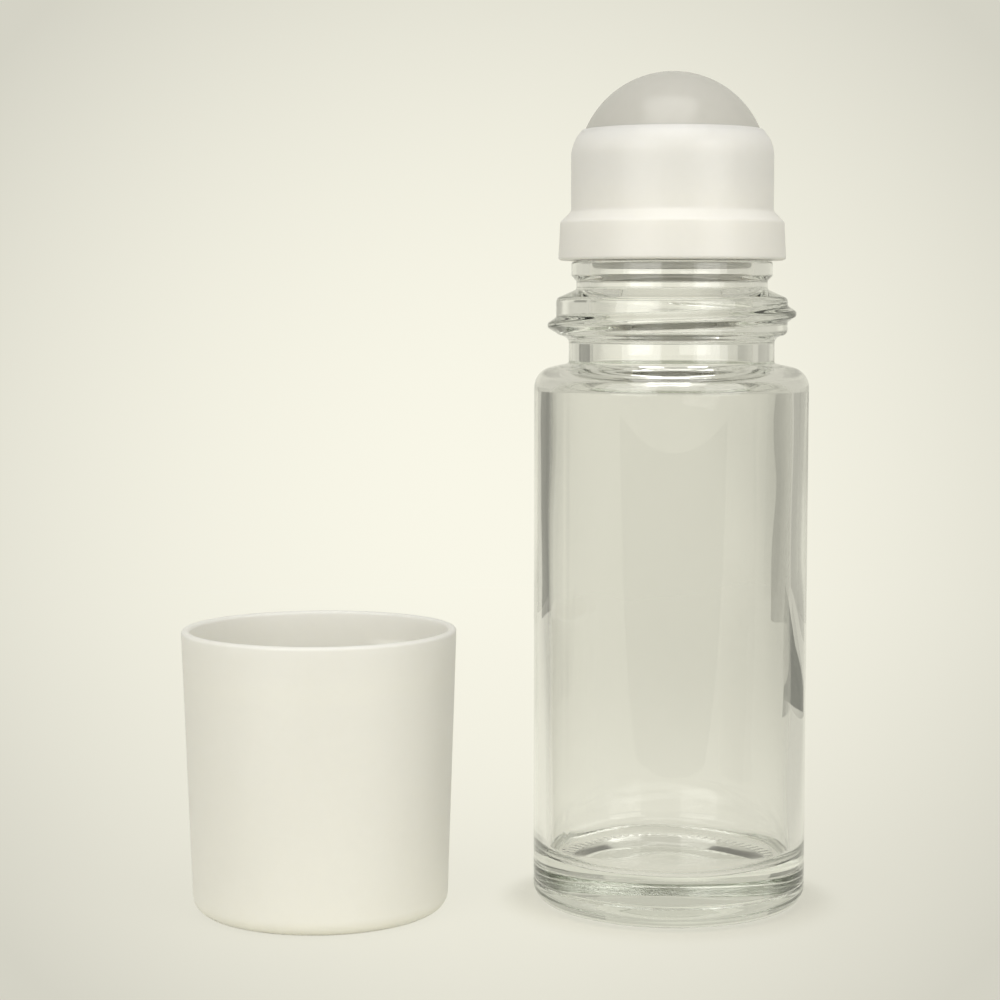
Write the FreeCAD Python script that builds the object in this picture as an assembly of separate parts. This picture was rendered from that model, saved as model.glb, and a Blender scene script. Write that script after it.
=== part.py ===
"""Glass roll-on bottle with a ball in a snapped-on housing and its screw cap set down beside it.

Millimetres, +Z up. The origin is the centre of the bottle's base, on the surface that it stands on.
"""
import os

import FreeCAD
import Part
from math import sin, sqrt, tan

# Glass body
bottle_diameter = 37.0
body_height = 73.5
wall_thickness = 2.2
base_thickness = 6.8
push_up_height = 1.3
push_up_top_diameter = 8.0
bearing_ring_width = 2.2
heel_radius = 2.6
shoulder_radius = 2.8
shoulder_drop = 1.0
shoulder_thickness = 1.9
inner_shoulder_drop = 0.3
inner_shoulder_radius = 1.6
inner_heel_radius = 1.9
push_up_round = 20.0
bearing_edge_round = 0.7

# Neck finish, from the shoulder to the rim
neck_diameter = 27.7
neck_height = 3.3
neck_root_round = 0.8
neck_bore_diameter = 22.0
bore_root_round = 1.0
thread_land_diameter = 31.1
thread_land_height = 4.8
thread_depth = 1.15
land_lower_flank = 0.6
land_upper_flank = 1.2
land_round = 0.8
groove_diameter = 25.7
groove_height = 1.1
groove_round = 0.4
stop_bead_diameter = 27.0
stop_bead_height = 2.6
stop_bead_flank = 0.7
stop_bead_round = 0.35
waist_diameter = 25.7
waist_height = 1.5
snap_ring_diameter = 26.7
snap_ring_height = 2.15
snap_flank = 0.45
snap_ring_round = 0.25
rim_outer_round = 0.9
rim_inner_round = 0.6

# Ball
ball_diameter = 25.4
ball_wall = 1.5
ball_clearance = 0.15
ball_rise = 8.5

# Ball housing
sleeve_wall = 0.72
lip_height = 4.9
lip_width = 0.2
lip_drop = 1.6
lip_round = 5.0
step_height = 1.45
step_round = 0.6
collar_wall = 1.6
collar_flare = 0.25
collar_gap = 0.15
collar_round = 0.4
flange_thickness = 1.15
snap_clearance = 0.06
hook_height = 1.1
seat_wall = 1.2
feed_hole_diameter = 15.0
plug_clearance = 0.3
plug_wall = 1.1
plug_length = 5.0
plug_lead_round = 0.5
seal_clearance = 0.04
seal_band_height = 1.2
seal_band_rise = 1.6
seal_band_flank = 0.3

# Screw cap
cap_wall = 1.15
cap_taper = 1.3
cap_crown_thickness = 1.2
cap_edge_radius = 2.2
cap_inner_round = 1.6
cap_rim_round = 0.45
cap_mouth_gap = 2.35
thread_clearance = 0.6
crown_gap = 0.3
press_ring_diameter = 9.0
press_ring_width = 1.1
press_ring_round = 0.4

# Where the cap stands beside the bottle
cap_spacing = 10.45
cap_forward = 4.2

# Shares of a wall that a rounding may take up
shared_wall_share = 0.49
lone_wall_share = 0.98

# Radii and heights that follow from the sizes above
bottle_radius = bottle_diameter / 2
inner_radius = bottle_radius - wall_thickness
neck_radius = neck_diameter / 2
bore_radius = neck_bore_diameter / 2
land_radius = thread_land_diameter / 2
groove_radius = groove_diameter / 2
bead_radius = stop_bead_diameter / 2
waist_radius = waist_diameter / 2
ring_radius = snap_ring_diameter / 2
ball_radius = ball_diameter / 2
socket_radius = ball_radius + ball_clearance
feed_radius = feed_hole_diameter / 2

land_bottom = body_height + neck_height
land_lower_edge = land_bottom + land_lower_flank
land_upper_edge = land_lower_edge + thread_land_height
groove_bottom = land_upper_edge + land_upper_flank
groove_top = groove_bottom + groove_height
bead_bottom = groove_top + stop_bead_flank
bead_top = groove_top + stop_bead_height
waist_top = bead_top + waist_height
ring_bottom = waist_top + snap_flank
rim_height = ring_bottom + snap_ring_height

ball_centre_height = rim_height + ball_rise
ball_top = ball_centre_height + ball_radius
lip_top = ball_centre_height + lip_height


def point(radius, height):
    """Return the point at that radius and height in the section plane."""
    return FreeCAD.Vector(radius, 0, height)


def rounded_wire(corners):
    """Return a closed wire through (radius, height, rounding) corners, each rounded by a tangent arc.

    A rounding is limited by the walls that meet at its corner, and shares a wall with a rounded neighbour.
    """
    count = len(corners)
    starts = []
    ends = []
    middles = []
    for index, (radius, height, rounding) in enumerate(corners):
        corner = point(radius, height)
        previous = corners[index - 1]
        following = corners[(index + 1) % count]
        before = point(*previous[:2]) - corner
        after = point(*following[:2]) - corner
        half_angle = before.getAngle(after) / 2
        before_share = shared_wall_share if previous[2] else lone_wall_share
        after_share = shared_wall_share if following[2] else lone_wall_share
        room = min(before.Length * before_share, after.Length * after_share)
        reach = min(rounding / tan(half_angle), room)
        arc_radius = reach * tan(half_angle)
        toward_before = FreeCAD.Vector(before).normalize()
        toward_after = FreeCAD.Vector(after).normalize()
        starts.append(corner + toward_before * reach)
        ends.append(corner + toward_after * reach)
        bisector = (toward_before + toward_after).normalize()
        middles.append(corner + bisector * (arc_radius / sin(half_angle) - arc_radius))
    edges = []
    for index in range(count):
        if corners[index][2] > 0:
            edges.append(Part.Arc(starts[index], middles[index], ends[index]).toShape())
        edges.append(Part.LineSegment(ends[index], starts[(index + 1) % count]).toShape())
    return Part.Wire(edges)


def turned(corners):
    """Return the solid that a section of rounded corners makes when it is turned about the Z axis."""
    axis = FreeCAD.Vector(0, 0, 1)
    return Part.Face(rounded_wire(corners)).revolve(FreeCAD.Vector(0, 0, 0), axis, 360)


def glass_bottle():
    """Return the moulded bottle: base with push-up, body, shoulder and the neck finish up to the rim."""
    bearing_outer = bottle_radius - heel_radius
    bearing_inner = bearing_outer - bearing_ring_width
    inner_shoulder = body_height - shoulder_thickness
    return turned([
        (0, push_up_height, 0),
        (push_up_top_diameter / 2, push_up_height, push_up_round),
        (bearing_inner, 0, bearing_edge_round),
        (bottle_radius, 0, heel_radius),
        (bottle_radius, body_height - shoulder_drop, shoulder_radius),
        (neck_radius, body_height, neck_root_round),
        (neck_radius, land_bottom, land_round),
        (land_radius, land_lower_edge, land_round),
        (land_radius, land_upper_edge, land_round),
        (groove_radius, groove_bottom, groove_round),
        (groove_radius, groove_top, groove_round),
        (bead_radius, bead_bottom, stop_bead_round),
        (bead_radius, bead_top, stop_bead_round),
        (waist_radius, bead_top, 0),
        (waist_radius, waist_top, 0),
        (ring_radius, ring_bottom, snap_ring_round),
        (ring_radius, rim_height, rim_outer_round),
        (bore_radius, rim_height, rim_inner_round),
        (bore_radius, inner_shoulder, bore_root_round),
        (inner_radius, inner_shoulder - inner_shoulder_drop, inner_shoulder_radius),
        (inner_radius, base_thickness, inner_heel_radius),
        (0, base_thickness, 0),
    ])


def housing_section():
    """Return the corners of the housing's section, before the ball's socket is cut from it."""
    sleeve_radius = socket_radius + sleeve_wall
    sleeve_bottom = rim_height + flange_thickness + step_height
    lip_radius = sqrt(socket_radius ** 2 - lip_height ** 2) + lip_width
    collar_inner = ring_radius + snap_clearance
    hook_radius = waist_radius + snap_clearance
    collar_bottom = bead_top + collar_gap
    hook_top = collar_bottom + hook_height
    collar_outer = collar_inner + collar_wall
    plug_outer = bore_radius - plug_clearance
    plug_inner = plug_outer - plug_wall
    plug_bottom = rim_height - plug_length
    seal_radius = bore_radius - seal_clearance
    seal_bottom = plug_bottom + seal_band_rise
    seal_top = seal_bottom + seal_band_height
    seat_edge = ball_centre_height - sqrt(socket_radius ** 2 - feed_radius ** 2)
    seat_root = ball_centre_height - sqrt(socket_radius ** 2 - plug_inner ** 2)
    return [
        (feed_radius, lip_top, 0),
        (lip_radius, lip_top, 0),
        (sleeve_radius, lip_top - lip_drop, lip_round),
        (sleeve_radius, sleeve_bottom, step_round),
        (collar_outer, sleeve_bottom - step_height, step_round),
        (collar_outer + collar_flare, collar_bottom, collar_round),
        (hook_radius, collar_bottom, collar_round),
        (hook_radius, hook_top, 0),
        (collar_inner, hook_top + snap_flank, 0),
        (collar_inner, rim_height, 0),
        (plug_outer, rim_height, 0),
        (plug_outer, seal_top + seal_band_flank, 0),
        (seal_radius, seal_top, 0),
        (seal_radius, seal_bottom, 0),
        (plug_outer, seal_bottom - seal_band_flank, 0),
        (plug_outer, plug_bottom, plug_lead_round),
        (plug_inner, plug_bottom, 0),
        (plug_inner, seat_root - seat_wall, 0),
        (feed_radius, seat_edge - seat_wall, 0),
    ]


def ball_housing():
    """Return the one-piece moulding that snaps on the neck and holds the ball."""
    socket = Part.makeSphere(socket_radius, point(0, ball_centre_height))
    return turned(housing_section()).cut(socket)


def roller_ball():
    """Return the hollow ball."""
    centre = point(0, ball_centre_height)
    return Part.makeSphere(ball_radius, centre).cut(Part.makeSphere(ball_radius - ball_wall, centre))


def screw_cap():
    """Return the cap, standing on its closed end beside the bottle with its mouth up."""
    bore = land_radius + thread_depth + thread_clearance
    mouth = bore + cap_wall
    crown = mouth - cap_taper
    height = ball_top + crown_gap + cap_crown_thickness - body_height - cap_mouth_gap
    inner_crown = crown - cap_wall
    ring_inner = press_ring_diameter / 2
    ring_outer = ring_inner + press_ring_width
    ring_height = crown_gap + ball_radius - sqrt(ball_radius ** 2 - ring_inner ** 2)
    cap = turned([
        (0, 0, 0),
        (crown, 0, cap_edge_radius),
        (mouth, height, cap_rim_round),
        (bore, height, cap_rim_round),
        (inner_crown, cap_crown_thickness, cap_inner_round),
        (ring_outer, cap_crown_thickness, press_ring_round),
        (ring_outer, cap_crown_thickness + ring_height, press_ring_round),
        (ring_inner, cap_crown_thickness + ring_height, press_ring_round),
        (ring_inner, cap_crown_thickness, press_ring_round),
        (0, cap_crown_thickness, 0),
    ])
    cap.translate(FreeCAD.Vector(-(bottle_radius + cap_spacing + mouth), -cap_forward, 0))
    return cap


def main():
    """Build every piece and write each to its own file."""
    os.makedirs("parts", exist_ok=True)
    for make in (glass_bottle, ball_housing, roller_ball, screw_cap):
        shape = make()
        shape.exportStep(os.path.join("parts", make.__name__ + ".step"))
        solids = len(shape.Solids)
        print(make.__name__, "solids", solids, "valid", shape.isValid(), "volume", round(shape.Volume, 1))


main()
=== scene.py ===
"""Looks of a clear glass roll-on bottle with its ball, its ball housing and its screw cap.

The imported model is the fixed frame. Sections are written in millimetres and turned into meshes in metres, each of
which stands for one node of the frame.
"""
import logging
import math
from dataclasses import dataclass
from enum import Enum
from typing import Any

import bmesh
import bpy
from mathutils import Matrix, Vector


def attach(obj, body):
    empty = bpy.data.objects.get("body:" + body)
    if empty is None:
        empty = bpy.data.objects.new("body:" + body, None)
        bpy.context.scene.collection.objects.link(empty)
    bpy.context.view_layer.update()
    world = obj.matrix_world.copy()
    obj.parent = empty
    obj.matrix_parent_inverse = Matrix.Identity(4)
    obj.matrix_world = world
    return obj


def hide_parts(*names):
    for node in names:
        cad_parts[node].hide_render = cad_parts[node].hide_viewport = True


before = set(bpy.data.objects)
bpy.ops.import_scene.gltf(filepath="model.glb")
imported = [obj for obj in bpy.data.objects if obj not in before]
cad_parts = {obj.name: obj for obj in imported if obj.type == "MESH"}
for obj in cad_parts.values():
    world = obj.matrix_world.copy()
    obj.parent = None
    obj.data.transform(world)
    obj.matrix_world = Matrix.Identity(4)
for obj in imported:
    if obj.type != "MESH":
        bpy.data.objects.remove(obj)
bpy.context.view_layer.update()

LOG = logging.getLogger("roll_on_bottle")
MM = 0.001
FULL_TURN = 2 * math.pi
TINY = 1e-6
CREST_FLAT = 0.12

Colour = tuple[float, float, float]
Place = tuple[float, float, float]


class RidgeSide(Enum):
    """Which way a thread ridge stands from the wall that carries it."""

    OUTWARD = 1.0
    INWARD = -1.0


class Wire:
    """A node's output, with operators that add Math nodes to its tree."""

    def __init__(self, graph: "Graph", socket: bpy.types.NodeSocket) -> None:
        """Keep the socket and the graph that it belongs to."""
        self.graph = graph
        self.socket = socket

    def __add__(self, other: "Wire | float") -> "Wire":
        """Return this value plus another."""
        return self.graph.math("ADD", self, other)

    def __radd__(self, other: float) -> "Wire":
        """Return a number plus this value."""
        return self.graph.math("ADD", other, self)

    def __sub__(self, other: "Wire | float") -> "Wire":
        """Return this value less another."""
        return self.graph.math("SUBTRACT", self, other)

    def __rsub__(self, other: float) -> "Wire":
        """Return a number less this value."""
        return self.graph.math("SUBTRACT", other, self)

    def __mul__(self, other: "Wire | float") -> "Wire":
        """Return this value times another."""
        return self.graph.math("MULTIPLY", self, other)

    def __rmul__(self, other: float) -> "Wire":
        """Return a number times this value."""
        return self.graph.math("MULTIPLY", other, self)

    def __truediv__(self, other: "Wire | float") -> "Wire":
        """Return this value divided by another."""
        return self.graph.math("DIVIDE", self, other)


class Graph:
    """Adds nodes to one shader or geometry tree."""

    def __init__(self, tree: bpy.types.NodeTree) -> None:
        """Keep the tree."""
        self.tree = tree

    def node(self, kind: str, settings: dict[str, Any] | None = None,
             sockets: dict[str, Any] | None = None) -> bpy.types.Node:
        """Add one node.

        Args:
            kind: The node's type.
            settings: Properties, set first.
            sockets: Values or wires for its inputs, by name or identifier.

        Returns:
            The new node.
        """
        made = self.tree.nodes.new(kind)
        for name, setting in (settings or {}).items():
            setattr(made, name, setting)
        for name, value in (sockets or {}).items():
            socket = self._input(made, name)
            if isinstance(value, Wire):
                self.tree.links.new(value.socket, socket)
            else:
                socket.default_value = value
        return made

    def out(self, node: bpy.types.Node, name: str) -> Wire:
        """Return a node's output by name or identifier."""
        return Wire(self, self._pick(node.outputs, name))

    def math(self, operation: str, *values: "Wire | float") -> Wire:
        """Add a Math node.

        Args:
            operation: The Math node's operation.
            values: Wires or numbers for its inputs in order.

        Returns:
            Its result.
        """
        made = self.tree.nodes.new("ShaderNodeMath")
        made.operation = operation
        for socket, value in zip(made.inputs, values):
            if isinstance(value, Wire):
                self.tree.links.new(value.socket, socket)
            else:
                socket.default_value = value
        return Wire(self, made.outputs[0])

    def smooth(self, value: Wire, low: "Wire | float", high: "Wire | float") -> Wire:
        """Return a smooth step from 0 at low to 1 at high."""
        return self.remap(value, low, high, 0.0, 1.0, "SMOOTHSTEP")

    def remap(self, value: Wire, low: "Wire | float", high: "Wire | float", start: float, end: float,
              interpolation: str = "LINEAR") -> Wire:
        """Return a value carried from one range to another, held at its ends.

        Args:
            value: The value to carry over.
            low: Where the first range starts.
            high: Where the first range ends.
            start: The result at low.
            end: The result at high.
            interpolation: How the result goes from start to end.

        Returns:
            The value in the second range.
        """
        ranges = {"Value": value, "From Min": low, "From Max": high, "To Min": start, "To Max": end}
        made = self.node("ShaderNodeMapRange", {"interpolation_type": interpolation, "clamp": True}, ranges)
        return self.out(made, "Result")

    def split(self, vector: Wire) -> tuple[Wire, Wire, Wire]:
        """Return a vector's three parts."""
        made = self.node("ShaderNodeSeparateXYZ", None, {"Vector": vector})
        return self.out(made, "X"), self.out(made, "Y"), self.out(made, "Z")

    def join(self, x: "Wire | float", y: "Wire | float", z: "Wire | float") -> Wire:
        """Return the vector of three parts."""
        return self.out(self.node("ShaderNodeCombineXYZ", None, {"X": x, "Y": y, "Z": z}), "Vector")

    def blend(self, factor: Wire, first: "Wire | Colour", second: "Wire | Colour") -> Wire:
        """Return a colour between two, by a factor from 0 to 1."""
        colours = {"Factor_Float": factor, "A_Color": self._opaque(first), "B_Color": self._opaque(second)}
        return self.out(self.node("ShaderNodeMix", {"data_type": "RGBA"}, colours), "Result_Color")

    def drawn(self, vector: Wire, share: float) -> Wire:
        """Return coordinates whose patterns are drawn out along Z by a share below 1."""
        return self.out(self.node("ShaderNodeMapping", None, {"Vector": vector, "Scale": (1, 1, share)}), "Vector")

    def noise(self, vector: Wire, scale: float, detail: float, seed: float) -> Wire:
        """Return a noise value round 0.5, with a fixed seed."""
        sockets = {"Vector": vector, "W": seed, "Scale": scale, "Detail": detail}
        return self.out(self.node("ShaderNodeTexNoise", {"noise_dimensions": "4D"}, sockets), "Fac")

    @staticmethod
    def _opaque(colour: "Wire | Colour") -> Any:
        """Return a colour with full alpha, and a wire as it is."""
        return colour if isinstance(colour, Wire) else (*colour, 1.0)

    @classmethod
    def _input(cls, node: bpy.types.Node, name: str) -> bpy.types.NodeSocket:
        """Return a node's input by name or identifier."""
        return cls._pick(node.inputs, name)

    @staticmethod
    def _pick(sockets: Any, name: str) -> bpy.types.NodeSocket:
        """Return the socket with that identifier, or the first shown one with that name."""
        for socket in sockets:
            if socket.identifier == name:
                return socket
        return next(socket for socket in sockets if socket.name == name and socket.enabled)


class Process:
    """A geometry tree with named inputs that shapes a piece."""

    KINDS = {float: "NodeSocketFloat", int: "NodeSocketInt", bpy.types.Material: "NodeSocketMaterial"}

    def __init__(self, name: str, inputs: dict[str, type]) -> None:
        """Start the tree.

        Args:
            name: The tree's name.
            inputs: Its inputs' names and types, beside the geometry and the material.
        """
        self.tree = bpy.data.node_groups.new(name, "GeometryNodeTree")
        self.graph = Graph(self.tree)
        face = self.tree.interface
        face.new_socket("Geometry", in_out="INPUT", socket_type="NodeSocketGeometry")
        face.new_socket("Geometry", in_out="OUTPUT", socket_type="NodeSocketGeometry")
        self.identifiers = {}
        for label, kind in {**inputs, "Material": bpy.types.Material}.items():
            socket = face.new_socket(label, in_out="INPUT", socket_type=self.KINDS[kind])
            self.identifiers[label] = socket.identifier
        self.entry = self.graph.node("NodeGroupInput")

    def given(self, name: str) -> Wire:
        """Return one of the tree's inputs."""
        return self.graph.out(self.entry, name)

    def close(self, geometry: Wire) -> None:
        """End the tree: realize, shade smooth and set the material."""
        graph = self.graph
        real = graph.out(graph.node("GeometryNodeRealizeInstances", None, {"Geometry": geometry}), "Geometry")
        soft = graph.out(graph.node("GeometryNodeSetShadeSmooth", None, {"Geometry": real}), "Geometry")
        clad = graph.node("GeometryNodeSetMaterial", None, {"Geometry": soft, "Material": self.given("Material")})
        graph.node("NodeGroupOutput", None, {"Geometry": graph.out(clad, "Geometry")})

    def attach(self, piece: bpy.types.Object, values: dict[str, Any]) -> None:
        """Put the tree on a piece, with its inputs set."""
        modifier = piece.modifiers.new(self.tree.name, "NODES")
        modifier.node_group = self.tree
        for label, value in values.items():
            modifier[self.identifiers[label]] = value

    def polar(self) -> tuple[Wire, Wire, Wire, Wire, Wire]:
        """Return each point's radius and angle about the tree's axis, its height, and its outward direction's parts."""
        graph = self.graph
        x, y, z = graph.split(graph.out(graph.node("GeometryNodeInputPosition"), "Position"))
        across, along = x - self.given("Axis X"), y - self.given("Axis Y")
        radius = graph.math("SQRT", across * across + along * along)
        angle = graph.math("ARCTAN2", along, across)
        safe = graph.math("MAXIMUM", radius, TINY)
        return radius, angle, z, across / safe, along / safe

    def shifted(self, geometry: Wire, offset: Wire) -> Wire:
        """Return the geometry with each point moved by an offset."""
        made = self.graph.node("GeometryNodeSetPosition", None, {"Geometry": geometry, "Offset": offset})
        return self.graph.out(made, "Geometry")


def turning_process() -> Process:
    """Return the tree that turns a section, kept as a row of points, into a closed body."""
    process = Process("turned_body", {"Rows": int, "Columns": int, "Axis X": float, "Axis Y": float, "Weld": float})
    graph = process.graph
    rows, columns = process.given("Rows"), process.given("Columns")
    sheet = graph.node("GeometryNodeMeshGrid", None, {"Vertices X": columns + 1, "Vertices Y": rows})
    index = graph.out(graph.node("GeometryNodeInputIndex"), "Index")
    column = graph.math("FLOOR", index / rows)
    place = graph.out(graph.node("GeometryNodeInputPosition"), "Position")
    sample = graph.node("GeometryNodeSampleIndex", {"data_type": "FLOAT_VECTOR", "domain": "POINT"},
                        {"Geometry": process.given("Geometry"), "Value": place, "Index": index - column * rows})
    radius, _, height = graph.split(graph.out(sample, "Value"))
    angle = column / columns * FULL_TURN
    x = radius * graph.math("COSINE", angle) + process.given("Axis X")
    y = radius * graph.math("SINE", angle) + process.given("Axis Y")
    body = graph.node("GeometryNodeSetPosition", None,
                      {"Geometry": graph.out(sheet, "Mesh"), "Position": graph.join(x, y, height)})
    welded = graph.node("GeometryNodeMergeByDistance", None,
                        {"Geometry": graph.out(body, "Geometry"), "Distance": process.given("Weld")})
    process.close(graph.out(welded, "Geometry"))
    return process


def ridge_process() -> Process:
    """Return the tree that raises one helical thread ridge from a turned wall."""
    inputs = ("Axis X", "Axis Y", "Pitch", "Height", "Half Width", "Start Height", "Start Angle", "Turns", "Run Out",
              "Inner Limit", "Outer Limit")
    process = Process("thread_ridge", {label: float for label in inputs})
    graph, given = process.graph, process.given
    radius, angle, height, out_x, out_y = process.polar()
    turned = (angle - given("Start Angle")) / FULL_TURN
    part = turned - graph.math("FLOOR", turned)
    rise = height - given("Start Height") - given("Pitch") * part
    lap = graph.math("ROUND", rise / given("Pitch"))
    away = graph.math("ABSOLUTE", rise - lap * given("Pitch")) / given("Half Width")
    along = part + lap
    ends = graph.smooth(along, 0.0, given("Run Out")) * graph.smooth(given("Turns") - along, 0.0, given("Run Out"))
    crest = 1 - graph.smooth(away, CREST_FLAT, 1.0)
    inside = graph.math("GREATER_THAN", radius, given("Inner Limit")) * graph.math(
        "LESS_THAN", radius, given("Outer Limit"))
    lift = crest * ends * inside * given("Height")
    process.close(process.shifted(given("Geometry"), graph.join(out_x * lift, out_y * lift, 0.0)))
    return process


def knurl_process() -> Process:
    """Return the tree that lowers a ring of fine knurls from the surface that a bottle stands on."""
    inputs = ("Axis X", "Axis Y", "Count", "Depth", "Inner Edge", "Outer Edge", "Soft Edge", "Level")
    process = Process("bearing_knurls", {label: float for label in inputs})
    graph, given = process.graph, process.given
    radius, angle, height, _, _ = process.polar()
    wave = 0.5 + 0.5 * graph.math("SINE", angle * given("Count"))
    ring = graph.smooth(radius - given("Inner Edge"), 0.0, given("Soft Edge")) * graph.smooth(
        given("Outer Edge") - radius, 0.0, given("Soft Edge"))
    low = graph.math("LESS_THAN", height, given("Level"))
    drop = wave * ring * low * given("Depth")
    process.close(process.shifted(given("Geometry"), graph.join(0.0, 0.0, 0.0 - drop)))
    return process


def uneven_process() -> Process:
    """Return the tree that makes a blown inner wall uneven and raises the two mould seams on the outer one."""
    inputs = ("Axis X", "Axis Y", "Amount", "Scale", "Stretch", "Seed", "Inner Radius", "Low", "High", "Soft Edge",
              "Outer Radius", "Seam Angle", "Seam Height", "Seam Width")
    process = Process("blown_glass", {label: float for label in inputs})
    graph, given = process.graph, process.given
    radius, angle, height, out_x, out_y = process.polar()
    place = graph.join(out_x * radius, out_y * radius, height * given("Stretch"))
    rough = graph.out(graph.node("ShaderNodeTexNoise", {"noise_dimensions": "4D"},
                                 {"Vector": place, "W": given("Seed"), "Scale": given("Scale"), "Detail": 1.0}), "Fac")
    inner = graph.math("LESS_THAN", radius, given("Inner Radius"))
    span = graph.smooth(height - given("Low"), 0.0, given("Soft Edge")) * graph.smooth(
        given("High") - height, 0.0, given("Soft Edge"))
    swell = (rough - 0.5) * inner * span * given("Amount")
    half = graph.math("FLOORED_MODULO", angle - given("Seam Angle") + FULL_TURN / 4, FULL_TURN / 2) - FULL_TURN / 4
    fin = graph.math("MAXIMUM", 1 - graph.math("ABSOLUTE", half) * radius / given("Seam Width"), 0.0)
    outer = graph.math("GREATER_THAN", radius, given("Outer Radius"))
    lift = fin * outer * span * given("Seam Height")
    normal = graph.out(graph.node("GeometryNodeInputNormal"), "Normal")
    bulge = graph.node("ShaderNodeVectorMath", {"operation": "SCALE"}, {"Vector": normal, "Scale": swell})
    both = graph.node("ShaderNodeVectorMath", {"operation": "ADD"},
                      {"Vector": graph.out(bulge, "Vector"), "Vector_001": graph.join(out_x * lift, out_y * lift, 0.0)})
    process.close(process.shifted(given("Geometry"), graph.out(both, "Vector")))
    return process


@dataclass(frozen=True)
class Corner:
    """A corner of a section in millimetres, with the row spacing of the straight run that follows it."""

    radius: float
    height: float
    rounding: float = 0.0
    row_step: float = 3.0


@dataclass(frozen=True)
class Section:
    """A section of straight runs and tangent arcs, open from axis to axis or closed to a ring."""

    corners: tuple[Corner, ...]
    closed: bool = False
    arc_step: float = math.radians(11.25)
    arc_length: float = 0.3
    support: float = 0.08
    shortest_run: float = 0.05
    shared_wall_share: float = 0.49
    lone_wall_share: float = 0.98

    def points(self) -> list[Vector]:
        """Return the section's points in order, its first point again at the end where it is closed."""
        arcs = [self._arc(index) for index in range(len(self.corners))]
        points: list[Vector] = []
        for index, arc in enumerate(arcs):
            points += arc
            if index + 1 < len(arcs) or self.closed:
                following = arcs[(index + 1) % len(arcs)]
                points += self._run(arc[-1], following[0], self.corners[index].row_step)
        return points + [points[0].copy()] if self.closed else points

    def _arc(self, index: int) -> list[Vector]:
        """Return the points of one corner's rounding, or the corner itself."""
        count = len(self.corners)
        corner = self.corners[index]
        spot = Vector((corner.radius, corner.height))
        if corner.rounding <= 0:
            return [spot]
        previous, following = self.corners[index - 1], self.corners[(index + 1) % count]
        before = Vector((previous.radius, previous.height)) - spot
        after = Vector((following.radius, following.height)) - spot
        half = before.angle(after) / 2
        share = [self.shared_wall_share if near.rounding > 0 else self.lone_wall_share
                 for near in (previous, following)]
        reach = min(corner.rounding / math.tan(half), before.length * share[0], after.length * share[1])
        start, end = spot + before.normalized() * reach, spot + after.normalized() * reach
        bisector = (before.normalized() + after.normalized()).normalized()
        centre = spot + bisector * (reach / math.cos(half))
        radius = reach * math.tan(half)
        first = math.atan2(start.y - centre.y, start.x - centre.x)
        last = math.atan2(end.y - centre.y, end.x - centre.x)
        sweep = (last - first + math.pi) % FULL_TURN - math.pi
        steps = max(4, math.ceil(abs(sweep) / self.arc_step), math.ceil(abs(sweep) * radius / self.arc_length))
        angles = [first + sweep * step / steps for step in range(steps + 1)]
        return [centre + radius * Vector((math.cos(angle), math.sin(angle))) for angle in angles]

    def _run(self, start: Vector, end: Vector, step: float) -> list[Vector]:
        """Return the points inside a straight run, with a close one near each end to hold its shading flat."""
        length = (end - start).length
        if length < self.shortest_run:
            return []
        support = min(self.support, length / 4)
        count = max(1, math.ceil((length - 2 * support) / step))
        spots = [support + (length - 2 * support) * index / count for index in range(count + 1)]
        return [start.lerp(end, spot / length) for spot in spots]


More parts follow.
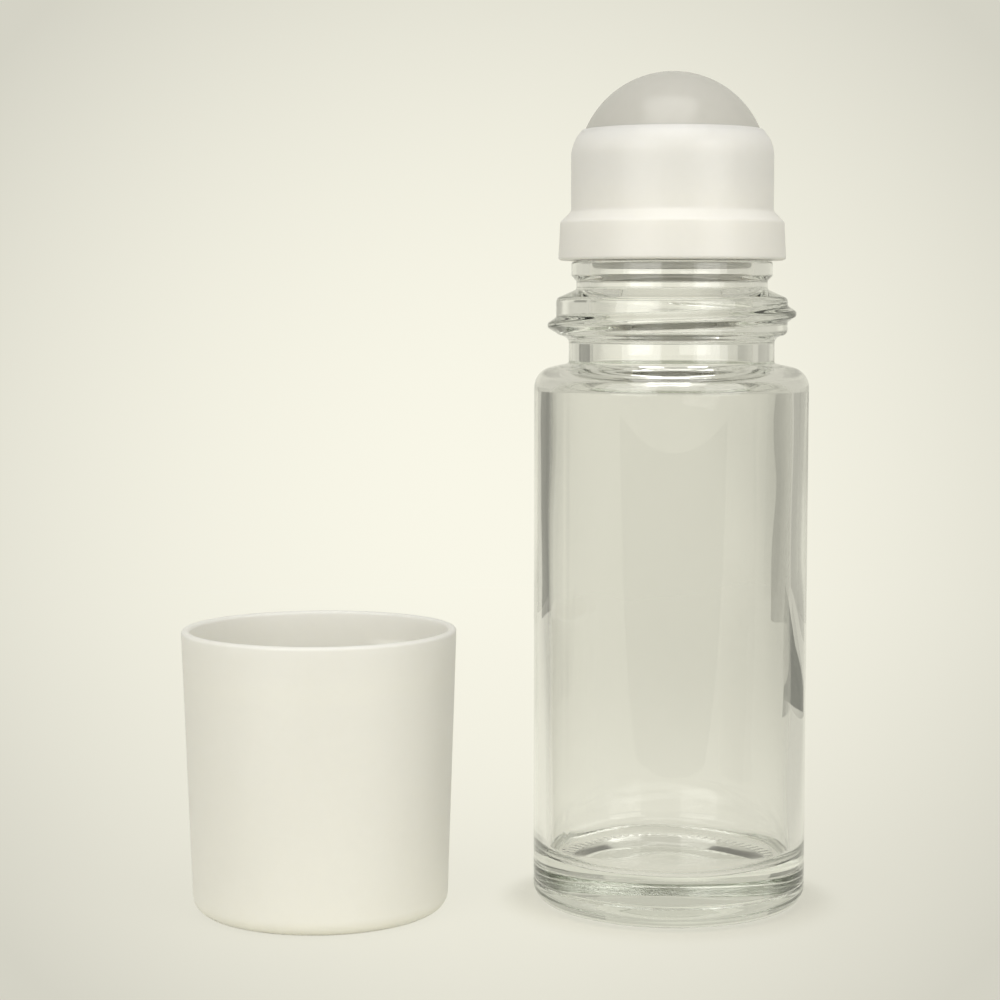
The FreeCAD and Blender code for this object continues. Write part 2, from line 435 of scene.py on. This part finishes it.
@dataclass(frozen=True)
class ClearGlass:
    """Clear moulded glass with a slightly uneven skin, and a faint, patchy painted grey shade over the body that fades
    out towards the base and the shoulder.
    """

    name: str = "clear_moulded_glass"
    tint: Colour = (0.965, 0.966, 0.955)
    # painted shade: the grey that the body's glass is tinted, and the heights where it fades in and fades out
    painted_shade: Colour = (0.875, 0.875, 0.86)
    painted_shade_low: tuple[float, float] = (0.010, 0.036)
    painted_shade_high: tuple[float, float] = (0.069, 0.074)
    # painted shade: patches that break up the painted grey
    shade_patch_scale: float = 45.0
    shade_patch_range: tuple[float, float] = (0.4, 0.7)
    shade_patch_share: float = 0.25
    shade_patch_seed: float = 3.1
    draw: float = 0.4
    refraction: float = 1.52
    body_colour: Colour = (0.80, 0.82, 0.78)
    body_density: float = 25.0
    polish: float = 0.004
    smear: float = 0.03
    smear_scale: float = 160.0
    smear_range: tuple[float, float] = (0.5, 0.78)
    smear_seed: float = 8.4
    frost: float = 0.15
    frost_edge: tuple[float, float] = (0.0002, 0.0006)
    ripple_scale: float = 70.0
    ripple_depth: float = 0.00006
    ripple_strength: float = 0.5
    ripple_seed: float = 5.7

    def material(self) -> bpy.types.Material:
        """Return the glass as a material."""
        material, graph, place = new_material(self.name)
        stretched = graph.drawn(place, self.draw)
        _, _, height = graph.split(place)
        # painted shade: patches that break it up, then greyer over the body's height, fading out towards the base and
        # the shoulder
        shade_patches = graph.smooth(graph.noise(stretched, self.shade_patch_scale, 2.0, self.shade_patch_seed), *self.shade_patch_range)
        painted_shade = graph.smooth(height, *self.painted_shade_low) * (1 - graph.smooth(height, *self.painted_shade_high))
        smears = graph.smooth(graph.noise(place, self.smear_scale, 4.0, self.smear_seed), *self.smear_range)
        frosted = 1 - graph.smooth(height, *self.frost_edge)
        ripple = graph.noise(stretched, self.ripple_scale, 1.0, self.ripple_seed)
        bump = graph.node("ShaderNodeBump", None, {
            "Strength": self.ripple_strength, "Distance": self.ripple_depth, "Height": ripple})
        surface = graph.node("ShaderNodeBsdfPrincipled", None, {
            "Base Color": graph.blend(painted_shade * (1 - self.shade_patch_share * shade_patches), self.tint, self.painted_shade),
            "Roughness": self.polish + smears * self.smear + self.frost * frosted,
            "IOR": self.refraction,
            "Transmission Weight": 1.0,
            "Normal": graph.out(bump, "Normal"),
        })
        body = graph.node("ShaderNodeVolumeAbsorption", None,
                          {"Color": (*self.body_colour, 1.0), "Density": self.body_density})
        graph.node("ShaderNodeOutputMaterial", None,
                   {"Surface": graph.out(surface, "BSDF"), "Volume": graph.out(body, "Volume")})
        return material


@dataclass(frozen=True)
class MouldedPlastic:
    """Milky moulded plastic: soft inside scatter, flow marks, a fine skin and a satin to glossy sheen."""

    name: str
    colour: Colour
    flow_colour: Colour
    scatter: float
    scatter_depth: float
    gloss: float
    dull: float
    grain_scale: float = 2600.0
    grain_depth: float = 0.000012
    grain_strength: float = 0.35
    flow_scale: float = 90.0
    flow_draw: float = 0.35
    flow_share: float = 0.75
    flow_range: tuple[float, float] = (0.36, 0.66)
    mottle_ratio: float = 8.0
    wear_ratio: float = 2.2
    wear_range: tuple[float, float] = (0.35, 0.65)
    refraction: float = 1.5
    scatter_reach: Colour = (1.0, 0.97, 0.9)
    seed: float = 1.0
    mottle_seed: float = 3.7
    wear_seed: float = 5.3
    grain_seed: float = 7.9

    def material(self) -> bpy.types.Material:
        """Return the plastic as a material."""
        material, graph, place = new_material(self.name)
        flow = graph.noise(graph.drawn(place, self.flow_draw), self.flow_scale, 3.0, self.seed)
        mottle = graph.noise(place, self.flow_scale * self.mottle_ratio, 2.0, self.seed + self.mottle_seed)
        grain = graph.noise(place, self.grain_scale, 2.0, self.seed + self.grain_seed)
        wear = graph.noise(place, self.flow_scale * self.wear_ratio, 4.0, self.seed + self.wear_seed)
        shade = graph.smooth(flow * self.flow_share + mottle * (1 - self.flow_share), *self.flow_range)
        bump = graph.node("ShaderNodeBump", None, {
            "Strength": self.grain_strength, "Distance": self.grain_depth, "Height": grain})
        surface = graph.node("ShaderNodeBsdfPrincipled", None, {
            "Base Color": graph.blend(shade, self.colour, self.flow_colour),
            "Roughness": graph.remap(wear, *self.wear_range, self.gloss, self.dull),
            "IOR": self.refraction,
            "Subsurface Weight": self.scatter,
            "Subsurface Radius": self.scatter_reach,
            "Subsurface Scale": self.scatter_depth,
            "Normal": graph.out(bump, "Normal"),
        })
        graph.node("ShaderNodeOutputMaterial", None, {"Surface": graph.out(surface, "BSDF")})
        return material


HOUSING_PLASTIC = MouldedPlastic("natural_polyethylene", (0.83, 0.815, 0.765), (0.81, 0.795, 0.745), scatter=0.5,
                                 scatter_depth=0.002, gloss=0.30, dull=0.36, seed=1.4)
BALL_PLASTIC = MouldedPlastic("natural_polypropylene", (0.54, 0.53, 0.485), (0.525, 0.515, 0.47), scatter=0.3,
                              scatter_depth=0.0015, gloss=0.20, dull=0.26, seed=4.2)
CAP_PLASTIC = MouldedPlastic("white_polypropylene", (0.86, 0.845, 0.765), (0.845, 0.83, 0.75), scatter=0.5,
                             scatter_depth=0.004, gloss=0.44, dull=0.52, seed=7.7)


def new_material(name: str) -> tuple[bpy.types.Material, Graph, Wire]:
    """Return an empty material, its graph and the object coordinates in it."""
    material = bpy.data.materials.new(name)
    material.use_nodes = True
    material.node_tree.nodes.clear()
    graph = Graph(material.node_tree)
    return material, graph, graph.out(graph.node("ShaderNodeTexCoord"), "Object")


class Lathe:
    """Turns sections into finished meshes."""

    def __init__(self) -> None:
        """Make the turning tree."""
        self.turning = turning_process()

    def blank(self, name: str, section: Section, columns: int, material: bpy.types.Material,
              axis: tuple[float, float] = (0.0, 0.0)) -> bpy.types.Object:
        """Return a piece whose section is turned by its first modifier.

        Args:
            name: The piece's name.
            section: Its section, in millimetres.
            columns: How many columns the turned mesh has.
            material: Its material.
            axis: Where its axis stands, in metres.

        Returns:
            The piece, still with its modifier.
        """
        points = section.points()
        mesh = bpy.data.meshes.new(name)
        spots = [(max(point.x, 0.0) * MM, 0.0, point.y * MM) for point in points]
        mesh.from_pydata(spots, [(index, index + 1) for index in range(len(spots) - 1)], [])
        piece = bpy.data.objects.new(name, mesh)
        bpy.context.scene.collection.objects.link(piece)
        self.turning.attach(piece, {"Rows": len(points), "Columns": columns, "Axis X": axis[0], "Axis Y": axis[1],
                                    "Weld": TINY, "Material": material})
        return piece

    @staticmethod
    def plain(piece: bpy.types.Object) -> bpy.types.Object:
        """Return the piece with its modifiers made into a plain mesh whose faces point outwards."""
        depsgraph = bpy.context.evaluated_depsgraph_get()
        mesh = bpy.data.meshes.new_from_object(piece.evaluated_get(depsgraph), depsgraph=depsgraph)
        piece.modifiers.clear()
        piece.data = mesh
        mesh.name = piece.name
        shape = bmesh.new()
        shape.from_mesh(mesh)
        bmesh.ops.recalc_face_normals(shape, faces=shape.faces)
        shape.to_mesh(mesh)
        shape.free()
        return piece


def settle(piece: bpy.types.Object, node: str, body: str) -> None:
    """Let a piece stand for a node and ride on its body.

    Args:
        piece: The finished piece.
        node: The node that it stands for.
        body: The body that it moves with.
    """
    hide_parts(node)
    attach(piece, body)
    triangles = sum(len(face.vertices) - 2 for face in piece.data.polygons)
    LOG.info("%s stands for %s on %s, %d triangles", piece.name, node, body, triangles)


@dataclass
class Bottle:
    """The glass bottle, in millimetres."""

    radius: float = 18.5
    inner_radius: float = 16.3
    body_height: float = 73.5
    base_thickness: float = 6.8
    push_up: float = 1.3
    push_up_radius: float = 4.0
    push_up_round: float = 20.0
    bearing_inner: float = 13.7
    bearing_outer: float = 15.9
    knurl_depth: float = 0.14
    knurl_count: int = 72
    heel_round: float = 2.6
    plate_line: float = 3.3
    plate_line_half: float = 0.28
    plate_line_depth: float = 0.1
    shoulder_round: float = 2.8
    shoulder_drop: float = 1.0
    neck_radius: float = 13.85
    land_bottom: float = 76.8
    land_radius: float = 15.55
    land_low: float = 77.4
    land_high: float = 82.2
    groove_radius: float = 12.85
    groove_low: float = 83.4
    groove_high: float = 84.5
    bead_radius: float = 13.5
    bead_low: float = 85.2
    bead_high: float = 87.1
    waist_radius: float = 12.85
    waist_high: float = 88.6
    ring_radius: float = 13.35
    ring_low: float = 89.05
    rim: float = 91.2
    bore_radius: float = 11.0
    inner_shoulder: float = 71.6
    inner_shoulder_low: float = 71.3
    inner_shoulder_round: float = 1.6
    inner_heel_round: float = 1.9
    columns: int = 288
    pitch: float = 3.2
    ridge_height: float = 1.15
    ridge_half_width: float = 1.25
    ridge_start: float = 77.85
    ridge_start_angle: float = 100.0
    ridge_turns: float = 1.02
    ridge_run_out: float = 0.09
    ridge_inner_limit: float = 14.0
    ridge_outer_limit: float = 16.2
    bearing_round: float = 0.7
    bearing_rows: float = 0.22
    plate_line_round: float = 0.1
    wall_rows: float = 6.0
    close_rows: float = 1.0
    flank_rows: float = 0.3
    land_rows: float = 0.11
    upper_flank_rows: float = 0.6
    inner_wall_rows: float = 1.6
    neck_root_round: float = 0.3
    land_round: float = 0.8
    groove_round: float = 0.4
    bead_round: float = 0.35
    ring_round: float = 0.25
    rim_round: float = 0.9
    rim_inner_round: float = 0.6
    bore_root_round: float = 0.4
    swell: float = 0.7
    swell_scale: float = 75.0
    swell_stretch: float = 0.4
    swell_seed: float = 2.3
    swell_low: float = 2.0
    swell_soft: float = 6.0
    skin: float = 0.1
    seam_angle: float = 219.0
    seam_height: float = 0.04
    seam_width: float = 0.33
    knurl_inner_gap: float = 0.1
    knurl_outer_gap: float = 0.3
    knurl_soft: float = 0.6
    knurl_level: float = 0.6

    def section(self) -> Section:
        """Return the section from the push-up's centre, up the outside and down the inside to the floor's centre."""
        low = self.knurl_depth
        return Section((
            Corner(0, self.push_up),
            Corner(self.push_up_radius, self.push_up, self.push_up_round),
            Corner(self.bearing_inner, low, self.bearing_round, self.bearing_rows),
            Corner(self.radius, low, self.heel_round, self.wall_rows),
            Corner(self.radius, self.plate_line - self.plate_line_half),
            Corner(self.radius - self.plate_line_depth, self.plate_line, self.plate_line_round),
            Corner(self.radius, self.plate_line + self.plate_line_half, 0.0, self.wall_rows),
            Corner(self.radius, self.body_height - self.shoulder_drop, self.shoulder_round, self.close_rows),
            Corner(self.neck_radius, self.body_height, self.neck_root_round, self.close_rows),
            Corner(self.neck_radius, self.land_bottom, self.land_round, self.flank_rows),
            Corner(self.land_radius, self.land_low, self.land_round, self.land_rows),
            Corner(self.land_radius, self.land_high, self.land_round, self.upper_flank_rows),
            Corner(self.groove_radius, self.groove_low, self.groove_round),
            Corner(self.groove_radius, self.groove_high, self.groove_round),
            Corner(self.bead_radius, self.bead_low, self.bead_round),
            Corner(self.bead_radius, self.bead_high, self.bead_round),
            Corner(self.waist_radius, self.bead_high),
            Corner(self.waist_radius, self.waist_high),
            Corner(self.ring_radius, self.ring_low, self.ring_round),
            Corner(self.ring_radius, self.rim, self.rim_round),
            Corner(self.bore_radius, self.rim, self.rim_inner_round),
            Corner(self.bore_radius, self.inner_shoulder, self.bore_root_round, self.close_rows),
            Corner(self.inner_radius, self.inner_shoulder_low, self.inner_shoulder_round, self.inner_wall_rows),
            Corner(self.inner_radius, self.base_thickness, self.inner_heel_round, self.close_rows),
            Corner(0, self.base_thickness),
        ))

    def build(self, lathe: Lathe, ridge: Process, glass: ClearGlass) -> None:
        """Make the bottle with its thread ridge, knurled bearing ring and uneven inside."""
        material = glass.material()
        piece = lathe.blank("bottle_glass", self.section(), self.columns, material)
        uneven_process().attach(piece, {
            "Axis X": 0.0, "Axis Y": 0.0, "Amount": self.swell * MM, "Scale": self.swell_scale,
            "Stretch": self.swell_stretch, "Seed": self.swell_seed,
            "Inner Radius": (self.inner_radius + self.skin) * MM, "Low": self.swell_low * MM,
            "High": self.inner_shoulder_low * MM, "Soft Edge": self.swell_soft * MM,
            "Outer Radius": (self.radius - self.skin) * MM, "Seam Angle": math.radians(self.seam_angle),
            "Seam Height": self.seam_height * MM, "Seam Width": self.seam_width * MM,
            "Material": material})
        ridge.attach(piece, {
            "Axis X": 0.0, "Axis Y": 0.0, "Pitch": self.pitch * MM,
            "Height": self.ridge_height * MM * RidgeSide.OUTWARD.value, "Half Width": self.ridge_half_width * MM,
            "Start Height": self.ridge_start * MM, "Start Angle": math.radians(self.ridge_start_angle),
            "Turns": self.ridge_turns, "Run Out": self.ridge_run_out, "Inner Limit": self.ridge_inner_limit * MM,
            "Outer Limit": self.ridge_outer_limit * MM, "Material": material})
        knurl_process().attach(piece, {
            "Axis X": 0.0, "Axis Y": 0.0, "Count": float(self.knurl_count), "Depth": self.knurl_depth * MM,
            "Inner Edge": (self.bearing_inner + self.knurl_inner_gap) * MM,
            "Outer Edge": (self.bearing_outer + self.knurl_outer_gap) * MM,
            "Soft Edge": self.knurl_soft * MM, "Level": self.knurl_level * MM, "Material": material})
        settle(lathe.plain(piece), "glass_bottle", "bottle")


@dataclass
class Applicator:
    """The ball and the housing that holds it, in millimetres."""

    centre: float = 99.7
    ball_radius: float = 12.7
    socket_radius: float = 12.85
    sleeve_wall: float = 0.72
    lip_height: float = 4.9
    lip_width: float = 0.2
    lip_drop: float = 1.6
    lip_round: float = 5.0
    rim: float = 91.2
    flange: float = 1.15
    step: float = 1.45
    collar_inner: float = 13.41
    collar_outer: float = 15.01
    collar_flare: float = 0.25
    collar_bottom: float = 87.25
    hook_radius: float = 12.91
    hook_high: float = 88.35
    plug_outer: float = 10.7
    plug_inner: float = 9.6
    plug_bottom: float = 86.2
    seal_radius: float = 10.96
    feed_radius: float = 7.5
    seat_wall: float = 1.2
    columns: int = 240
    weld_height: float = 0.035
    weld_width: float = 0.25
    step_round: float = 0.6
    step_rows: float = 0.5
    wall_rows: float = 0.8
    collar_round: float = 0.4
    hook_flank: float = 0.45
    seal_low: float = 1.6
    seal_high: float = 2.8
    seal_flank: float = 0.3
    plug_round: float = 0.5
    socket_steps: int = 36
    ball_steps: int = 120
    ball_support: float = 0.4

    def socket_height(self, radius: float) -> float:
        """Return the socket's height below the ball's centre at that radius."""
        return self.centre - math.sqrt(self.socket_radius ** 2 - radius ** 2)

    def socket(self) -> tuple[Corner, ...]:
        """Return points up the socket, from the feed hole to the lip."""
        first = math.asin(self.feed_radius / self.socket_radius) - math.pi / 2
        last = math.asin(self.lip_height / self.socket_radius)
        steps = self.socket_steps
        angles = [first + (last - first) * step / steps for step in range(steps + 1)]
        return tuple(Corner(self.socket_radius * math.cos(angle), self.centre + self.socket_radius * math.sin(angle))
                     for angle in angles)

    def housing_section(self) -> Section:
        """Return the housing's section: socket, lip, sleeve, step, collar, hook, plug and seat."""
        sleeve = self.socket_radius + self.sleeve_wall
        lip_top = self.centre + self.lip_height
        lip_radius = math.sqrt(self.socket_radius ** 2 - self.lip_height ** 2) + self.lip_width
        step_high = self.rim + self.flange + self.step
        return Section(self.socket() + (
            Corner(lip_radius, lip_top),
            Corner(sleeve, lip_top - self.lip_drop, self.lip_round, self.wall_rows),
            Corner(sleeve, step_high, self.step_round, self.step_rows),
            Corner(self.collar_outer, step_high - self.step, self.step_round, self.wall_rows),
            Corner(self.collar_outer + self.collar_flare, self.collar_bottom, self.collar_round),
            Corner(self.hook_radius, self.collar_bottom, self.collar_round),
            Corner(self.hook_radius, self.hook_high),
            Corner(self.collar_inner, self.hook_high + self.hook_flank),
            Corner(self.collar_inner, self.rim),
            Corner(self.plug_outer, self.rim),
            Corner(self.plug_outer, self.plug_bottom + self.seal_high + self.seal_flank),
            Corner(self.seal_radius, self.plug_bottom + self.seal_high),
            Corner(self.seal_radius, self.plug_bottom + self.seal_low),
            Corner(self.plug_outer, self.plug_bottom + self.seal_low - self.seal_flank),
            Corner(self.plug_outer, self.plug_bottom, self.plug_round),
            Corner(self.plug_inner, self.plug_bottom),
            Corner(self.plug_inner, self.socket_height(self.plug_inner) - self.seat_wall),
            Corner(self.feed_radius, self.socket_height(self.feed_radius) - self.seat_wall),
        ), closed=True)

    def ball_section(self) -> Section:
        """Return the ball's half section, with the fine weld line of its two halves at its middle."""
        steps = self.ball_steps
        corners = []
        for step in range(steps + 1):
            angle = -math.pi / 2 + math.pi * step / steps
            weld = self.weld_height * math.exp(-(angle * self.ball_radius / self.weld_width) ** 2)
            radius = 0.0 if step in (0, steps) else (self.ball_radius + weld) * math.cos(angle)
            corners.append(Corner(radius, self.centre + self.ball_radius * math.sin(angle)))
        return Section(tuple(corners), support=self.ball_support)

    def build(self, lathe: Lathe, housing: MouldedPlastic, ball: MouldedPlastic) -> None:
        """Make the housing and the ball."""
        moulding = lathe.blank("housing_moulding", self.housing_section(), self.columns, housing.material())
        settle(lathe.plain(moulding), "ball_housing", "bottle")
        roller = lathe.blank("applicator_ball", self.ball_section(), self.columns, ball.material())
        settle(lathe.plain(roller), "roller_ball", "ball")


@dataclass
class ScrewCap:
    """The cap that stands mouth up beside the bottle, in millimetres."""

    axis_x: float = -47.4
    axis_y: float = -4.2
    height: float = 38.05
    bore: float = 17.3
    mouth: float = 18.45
    crown: float = 17.15
    inner_crown: float = 16.0
    crown_thickness: float = 1.2
    edge_round: float = 2.2
    inner_round: float = 1.6
    rim_round: float = 0.45
    press_inner: float = 4.5
    press_outer: float = 5.6
    press_height: float = 1.12
    gate_radius: float = 1.6
    gate_depth: float = 0.3
    columns: int = 300
    pitch: float = 3.2
    ridge_height: float = 1.0
    ridge_half_width: float = 1.2
    ridge_start: float = 29.6
    ridge_start_angle: float = 20.0
    ridge_turns: float = 1.15
    ridge_run_out: float = 0.08
    ridge_inner_limit: float = 16.6
    skin: float = 0.02
    gate_round: float = 0.15
    gate_flank: float = 0.2
    press_round: float = 0.4
    ridge_rows: float = 0.2

    def section(self) -> Section:
        """Return the section from the crown's gate mark, up the outside and down the inside to the press ring."""
        floor = self.crown_thickness
        top = floor + self.press_height
        return Section((
            Corner(0, self.gate_depth),
            Corner(self.gate_radius, self.gate_depth, self.gate_round),
            Corner(self.gate_radius + self.gate_flank, 0, self.gate_round),
            Corner(self.crown, 0, self.edge_round),
            Corner(self.mouth, self.height, self.rim_round),
            Corner(self.bore, self.height, self.rim_round, self.ridge_rows),
            Corner(self.inner_crown, floor, self.inner_round),
            Corner(self.press_outer, floor, self.press_round),
            Corner(self.press_outer, top, self.press_round),
            Corner(self.press_inner, top, self.press_round),
            Corner(self.press_inner, floor, self.press_round),
            Corner(0, floor),
        ))

    def build(self, lathe: Lathe, ridge: Process, plastic: MouldedPlastic) -> None:
        """Make the cap with its inner thread ridge."""
        material = plastic.material()
        axis = (self.axis_x * MM, self.axis_y * MM)
        piece = lathe.blank("cap_shell", self.section(), self.columns, material, axis)
        ridge.attach(piece, {
            "Axis X": axis[0], "Axis Y": axis[1], "Pitch": self.pitch * MM,
            "Height": self.ridge_height * MM * RidgeSide.INWARD.value, "Half Width": self.ridge_half_width * MM,
            "Start Height": self.ridge_start * MM, "Start Angle": math.radians(self.ridge_start_angle),
            "Turns": self.ridge_turns, "Run Out": self.ridge_run_out, "Inner Limit": self.ridge_inner_limit * MM,
            "Outer Limit": (self.bore + self.skin) * MM, "Material": material})
        settle(lathe.plain(piece), "screw_cap", "cap")


@dataclass(frozen=True)
class Lamp:
    """A soft rectangular lamp, in metres and watts."""

    name: str
    place: Place
    target: Place
    width: float
    height: float
    power: float
    colour: Colour = (1.0, 0.99, 0.965)

    def build(self) -> None:
        """Hang the lamp and aim it."""
        data = bpy.data.lights.new(self.name, "AREA")
        data.shape = "RECTANGLE"
        data.size, data.size_y = self.width, self.height
        data.energy = self.power
        data.color = self.colour
        lamp = bpy.data.objects.new(self.name, data)
        lamp.location = self.place
        lamp.rotation_euler = (Vector(self.target) - Vector(self.place)).to_track_quat("-Z", "Y").to_euler()
        bpy.context.scene.collection.objects.link(lamp)


@dataclass(frozen=True)
class Flag:
    """A grey card out of the camera's view that shows only in reflections and, where wanted, through the glass: a
    painted dark reflection that gives no light and casts no shadow.
    """

    name: str
    corners: tuple[Place, Place, Place, Place]
    grey: Colour
    through_glass: bool = True
    patch_scale: float = 30.0
    patch_seed: float = 1.7
    patch_share: float = 0.8

    def build(self) -> None:
        """Stand the card up and hide it from the camera, from diffuse rays and from shadows."""
        mesh = bpy.data.meshes.new(self.name)
        mesh.from_pydata(list(self.corners), [], [(0, 1, 2, 3)])
        card = bpy.data.objects.new(self.name, mesh)
        bpy.context.scene.collection.objects.link(card)
        material, graph, place = new_material(self.name)
        # painted reflection: patches that make the card's grey uneven
        reflection_patches = graph.noise(place, self.patch_scale, 2.0, self.patch_seed)
        shade = graph.blend(reflection_patches, self.grey, tuple(part * self.patch_share for part in self.grey))
        card_face = graph.node("ShaderNodeEmission", None, {"Color": shade, "Strength": 1.0})
        graph.node("ShaderNodeOutputMaterial", None, {"Surface": graph.out(card_face, "Emission")})
        mesh.materials.append(material)
        card.visible_camera = card.visible_diffuse = card.visible_shadow = card.visible_volume_scatter = False
        card.visible_transmission = self.through_glass


LAMPS = (
    Lamp("window_left", (-0.48, -0.61, 0.36), (-0.02, 0.0, 0.36), 0.62, 0.64, 2.3),
    Lamp("window_right", (0.52, -0.57, 0.36), (-0.02, 0.0, 0.36), 0.50, 0.64, 2.1),
    Lamp("overhead", (-0.05, -0.28, 0.86), (-0.02, 0.0, 0.0), 0.7, 0.6, 2.7),
)
# painted dark reflections standing for the dark room round the object: grey cards beside, behind and low, and a
# near-black one on the floor in front
FLAGS = (
    Flag("flag_left", ((-0.150, 0.27, 0.0), (-0.30, 0.20, 0.0), (-0.30, 0.20, 0.072), (-0.150, 0.27, 0.072)),
         (0.34, 0.335, 0.29)),
    Flag("flag_right", ((0.105, 0.27, 0.0), (0.26, 0.20, 0.0), (0.26, 0.20, 0.072), (0.105, 0.27, 0.072)),
         (0.54, 0.53, 0.46)),
    Flag("flag_low", ((0.085, 0.13, 0.0), (0.16, 0.07, 0.0), (0.16, 0.07, 0.022), (0.085, 0.13, 0.006)),
         (0.26, 0.26, 0.225)),
    Flag("flag_front", ((-0.06, -0.11, 0.002), (-1.0, -0.95, 0.002), (0.9, -0.95, 0.002), (0.045, -0.11, 0.002)),
         (0.02, 0.02, 0.016), through_glass=False),
)


@dataclass
class Studio:
    """The floor, the light and the camera."""

    background: Colour = (0.947, 0.930, 0.807)
    # painted pool of light on the floor and the world: the point it is seen from, its aim, its lowest level and its
    # edge angle in degrees
    painted_light_pool_place: Place = (-0.0231, -0.325, 0.0824)
    painted_light_pool_aim: Place = (0.0, 0.9965, -0.0842)
    painted_light_pool_low: float = 0.70
    painted_light_pool_edge: float = 15.5
    ambient: Colour = (1.0, 0.99, 0.965)
    ambient_strength: float = 0.44
    floor_radius: float = 6.0
    near_glow: float = 0.9
    # painted contact shadow: the glow kept in a ring round the bottle's foot, the ring's radius and its width
    contact_shade_glow: float = 0.55
    ring_radius: float = 0.0195
    contact_shade_width: float = 0.005
    fade_start: float = 0.06
    fade_end: float = 0.36
    camera_place: Place = (-0.0231, -0.325, 0.0824)
    camera_pitch: float = 4.83
    lens: float = 86.6
    glass_bounces: int = 24

    def build(self) -> None:
        """Make everything round the object."""
        self.floor()
        self.world()
        for item in LAMPS + FLAGS:
            item.build()
        self.camera()
        bpy.context.scene.view_settings.view_transform = "Standard"
        paths = bpy.context.scene.cycles
        paths.max_bounces = paths.glossy_bounces = paths.transmission_bounces = self.glass_bounces

    @staticmethod
    def seen(graph: Graph) -> Wire:
        """Return 1 for rays that see the background: camera, glossy and transmission rays."""
        path = graph.node("ShaderNodeLightPath")
        rays = graph.out(path, "Is Camera Ray") + graph.out(path, "Is Glossy Ray")
        return graph.math("MINIMUM", rays + graph.out(path, "Is Transmission Ray"), 1.0)

    def painted_light_pool(self, graph: Graph, way: Wire) -> Wire:
        """Return the background's colour along a direction, as a painted pool of light: brightest behind the object,
        painted darker round it.

        Args:
            graph: The tree that the nodes go into.
            way: The direction, of unit length.

        Returns:
            The colour.
        """
        facing = graph.node("ShaderNodeVectorMath", {"operation": "DOT_PRODUCT"},
                            {"Vector": way, "Vector_001": self.painted_light_pool_aim})
        level = graph.remap(graph.out(facing, "Value"), math.cos(math.radians(self.painted_light_pool_edge)), 1.0, self.painted_light_pool_low, 1.0)
        return graph.blend(level, (0.0, 0.0, 0.0), self.background)

    def floor(self) -> None:
        """Lay a pale floor that keeps shadows near the object and fades into the background further off, with the
        painted pool of light and a painted darker ring round the bottle's foot.
        """
        shape = bmesh.new()
        bmesh.ops.create_circle(shape, cap_ends=True, segments=128, radius=self.floor_radius)
        mesh = bpy.data.meshes.new("pale_floor")
        shape.to_mesh(mesh)
        shape.free()
        floor = bpy.data.objects.new("pale_floor", mesh)
        bpy.context.scene.collection.objects.link(floor)
        material, graph, place = new_material("pale_paper")
        x, y, _ = graph.split(place)
        away = graph.math("SQRT", x * x + y * y)
        sight = graph.node("ShaderNodeVectorMath", {"operation": "SUBTRACT"},
                           {"Vector": place, "Vector_001": self.painted_light_pool_place})
        way = graph.node("ShaderNodeVectorMath", {"operation": "NORMALIZE"}, {"Vector": graph.out(sight, "Vector")})
        colour = self.painted_light_pool(graph, graph.out(way, "Vector"))
        glow = graph.remap(away, self.fade_start, self.fade_end, self.near_glow, 1.0, "SMOOTHSTEP")
        # painted contact shadow: less glow in a ring round the bottle's foot, so the floor is darker there and also
        # shows more of its real shadow
        contact_shade = graph.smooth(graph.math("ABSOLUTE", away - self.ring_radius), self.contact_shade_width, 0.0)
        fade = (glow - contact_shade * (self.near_glow - self.contact_shade_glow)) * self.seen(graph)
        paper = graph.node("ShaderNodeBsdfDiffuse", None, {"Color": colour})
        shine = graph.node("ShaderNodeEmission", None, {"Color": colour, "Strength": 1.0})
        both = graph.node("ShaderNodeMixShader", None, {"Fac": fade, "Shader": graph.out(paper, "BSDF"),
                                                        "Shader_001": graph.out(shine, "Emission")})
        graph.node("ShaderNodeOutputMaterial", None, {"Surface": graph.out(both, "Shader")})
        mesh.materials.append(material)

    def world(self) -> None:
        """Give the world the background's colour, with its painted pool of light, where it is seen, and a soft even
        light elsewhere.
        """
        world = bpy.data.worlds.new("studio_air")
        world.use_nodes = True
        world.node_tree.nodes.clear()
        graph = Graph(world.node_tree)
        light = tuple(part * self.ambient_strength for part in self.ambient)
        way = graph.out(graph.node("ShaderNodeTexCoord"), "Object")
        air = graph.node("ShaderNodeBackground", None,
                         {"Color": graph.blend(self.seen(graph), light, self.painted_light_pool(graph, way)), "Strength": 1.0})
        graph.node("ShaderNodeOutputWorld", None, {"Surface": graph.out(air, "Background")})
        bpy.context.scene.world = world

    def camera(self) -> None:
        """Stand the camera where the photograph was taken from."""
        data = bpy.data.cameras.new("camera")
        data.lens = self.lens
        data.sensor_width = 36.0
        data.clip_start = 0.01
        camera = bpy.data.objects.new("camera", data)
        camera.location = self.camera_place
        camera.rotation_euler = (math.radians(90.0 - self.camera_pitch), 0.0, 0.0)
        bpy.context.scene.collection.objects.link(camera)
        bpy.context.scene.camera = camera


def main() -> None:
    """Build every piece, then the studio."""
    logging.basicConfig(level=logging.INFO, format="%(message)s")
    lathe, ridge = Lathe(), ridge_process()
    Bottle().build(lathe, ridge, ClearGlass())
    Applicator().build(lathe, HOUSING_PLASTIC, BALL_PLASTIC)
    ScrewCap().build(lathe, ridge, CAP_PLASTIC)
    Studio().build()


if __name__ == "__main__":
    main()
